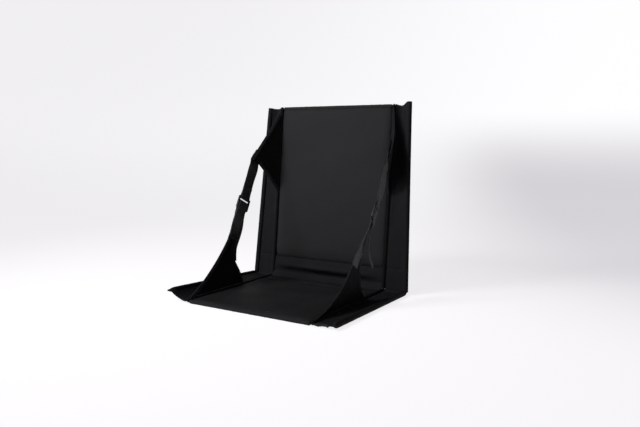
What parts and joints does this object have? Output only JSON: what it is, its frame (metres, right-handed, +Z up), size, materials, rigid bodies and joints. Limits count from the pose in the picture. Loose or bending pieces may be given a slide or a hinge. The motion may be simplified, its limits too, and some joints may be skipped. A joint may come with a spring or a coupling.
{
  "type": "folding camping chair",
  "caption": "Legless folding ground chair: padded seat and back on a cloth hinge, steel rods in side sleeves, side wings joined by webbing straps with ladder locks.",
  "frame": {"origin": "centre of the overall box, on the ground", "axes": "+Z up, -Y towards the front of the seat, +X to the right as seen from the front"},
  "size_m": [0.46, 0.3932, 0.4645],
  "materials": {
    "cover_cloth": "dark charcoal woven polyester",
    "foam": "grey closed-cell foam",
    "stiffening_board": "plain plastic sheet",
    "steel_rod": "plain drawn tube",
    "rod_cap_plastic": "moulded plastic plug",
    "webbing": "woven polyester webbing",
    "lock_plastic": "moulded black plastic"
  },
  "bodies": {
    "seat": {"seat_top_cover": "cover_cloth", "seat_under_cover": "cover_cloth", "seat_foam": "foam", "seat_board": "stiffening_board", "seat_front_binding": "cover_cloth", "seat_side_strip_left": "cover_cloth", "seat_side_strip_right": "cover_cloth", "seat_rod_left": "steel_rod", "seat_rod_right": "steel_rod", "seat_rod_caps": "rod_cap_plastic", "seat_welt_left": "cover_cloth", "seat_welt_right": "cover_cloth"},
    "hinge_fabric": {"hinge_cloth": "cover_cloth", "hinge_side_fold_left": "cover_cloth", "hinge_side_fold_right": "cover_cloth"},
    "back": {"back_front_cover": "cover_cloth", "back_rear_cover": "cover_cloth", "back_foam": "foam", "back_board": "stiffening_board", "back_top_binding": "cover_cloth", "back_side_strip_left": "cover_cloth", "back_side_strip_right": "cover_cloth", "back_rod_left": "steel_rod", "back_rod_right": "steel_rod", "back_rod_caps": "rod_cap_plastic", "back_welt_left": "cover_cloth", "back_welt_right": "cover_cloth"},
    "seat_wing_left_body": {"seat_wing_left": "cover_cloth"},
    "back_wing_left_body": {"back_wing_left": "cover_cloth", "upper_strap_left": "webbing", "adjusting_strap_left": "webbing", "ladder_lock_left": "lock_plastic"},
    "lower_strap_left_body": {"lower_strap_left": "webbing"},
    "seat_wing_right_body": {"seat_wing_right": "cover_cloth"},
    "back_wing_right_body": {"back_wing_right": "cover_cloth", "upper_strap_right": "webbing", "adjusting_strap_right": "webbing", "ladder_lock_right": "lock_plastic"},
    "lower_strap_right_body": {"lower_strap_right": "webbing"}
  },
  "joints": [
    {"name": "back_fold", "type": "hinge", "parent": "seat", "child": "hinge_fabric", "pos_m": [0, 0.13344, 0.021], "axis": [1, 0, 0], "range_deg": [0, 95], "deforming": ["hinge_cloth", "hinge_side_fold_left", "hinge_side_fold_right", "seat_wing_left", "seat_wing_right", "back_wing_left", "back_wing_right", "lower_strap_left", "lower_strap_right", "adjusting_strap_left", "adjusting_strap_right", "upper_strap_left", "upper_strap_right"]},
    {"name": "back_recline", "type": "hinge", "parent": "hinge_fabric", "child": "back", "pos_m": [0, 0.13344, 0.021], "axis": [1, 0, 0], "range_deg": [-20, 0]},
    {"name": "seat_wing_fold_left", "type": "hinge", "parent": "seat", "child": "seat_wing_left_body", "pos_m": [-0.165, -0.02156, 0.01119], "axis": [0, 1, 0], "range_deg": [0, 91]},
    {"name": "back_wing_fold_left", "type": "hinge", "parent": "back", "child": "back_wing_left_body", "pos_m": [-0.165, 0.16927, 0.31801], "axis": [0, 0.0872, 0.9962], "range_deg": [0, 95]},
    {"name": "strap_swing_left", "type": "hinge", "parent": "seat_wing_left_body", "child": "lower_strap_left_body", "pos_m": [-0.17608, -0.02156, 0.11661], "axis": [1, 0, 0], "range_deg": [-18, 0]},
    {"name": "seat_wing_fold_right", "type": "hinge", "parent": "seat", "child": "seat_wing_right_body", "pos_m": [0.165, -0.02156, 0.01119], "axis": [0, -1, 0], "range_deg": [0, 91]},
    {"name": "back_wing_fold_right", "type": "hinge", "parent": "back", "child": "back_wing_right_body", "pos_m": [0.165, 0.16927, 0.31801], "axis": [0, -0.0872, -0.9962], "range_deg": [0, 95]},
    {"name": "strap_swing_right", "type": "hinge", "parent": "seat_wing_right_body", "child": "lower_strap_right_body", "pos_m": [0.17608, -0.02156, 0.11661], "axis": [1, 0, 0], "range_deg": [-18, 0]}
  ],
  "couplings": [
    {"joint": "seat_wing_fold_left", "follows": "back_fold", "ratio": 0.953},
    {"joint": "back_wing_fold_left", "follows": "back_fold", "ratio": 0.99},
    {"joint": "strap_swing_left", "follows": "back_recline", "ratio": 0.885},
    {"joint": "seat_wing_fold_right", "follows": "back_fold", "ratio": 0.953},
    {"joint": "back_wing_fold_right", "follows": "back_fold", "ratio": 0.99},
    {"joint": "strap_swing_right", "follows": "back_recline", "ratio": 0.885}
  ]
}
